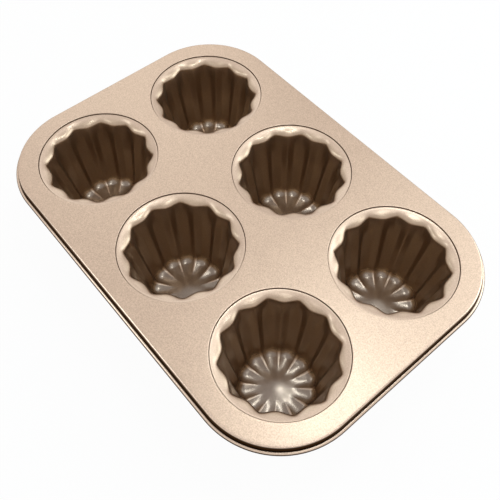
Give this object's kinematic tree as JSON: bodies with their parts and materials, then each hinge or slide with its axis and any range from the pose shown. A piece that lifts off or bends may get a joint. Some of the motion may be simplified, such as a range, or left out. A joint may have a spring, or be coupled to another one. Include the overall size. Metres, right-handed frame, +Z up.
{
  "type": "canele pan",
  "caption": "Pressed steel baking pan with fluted, tapered cups seamed into a flat deck that has rounded corners, a short skirt and a rolled edge, for baking caneles.",
  "frame": {"origin": "middle of the pan in plan, on the surface that the cups' bottoms stand on", "axes": "+X along the long side, +Y along the short side from the front row to the rear row, +Z up out of the cups"},
  "size_m": [0.2674, 0.1856, 0.0532],
  "materials": {
    "deck_coat": "champagne gold metallic non-stick coat, satin with fine flakes",
    "cup_coat": "champagne gold metallic non-stick coat, satin with fine flakes"
  },
  "bodies": {
    "root": {"deck": "deck_coat", "cup_front_left": "cup_coat", "cup_front_middle": "cup_coat", "cup_front_right": "cup_coat", "cup_rear_left": "cup_coat", "cup_rear_middle": "cup_coat", "cup_rear_right": "cup_coat"}
  },
  "joints": []
}
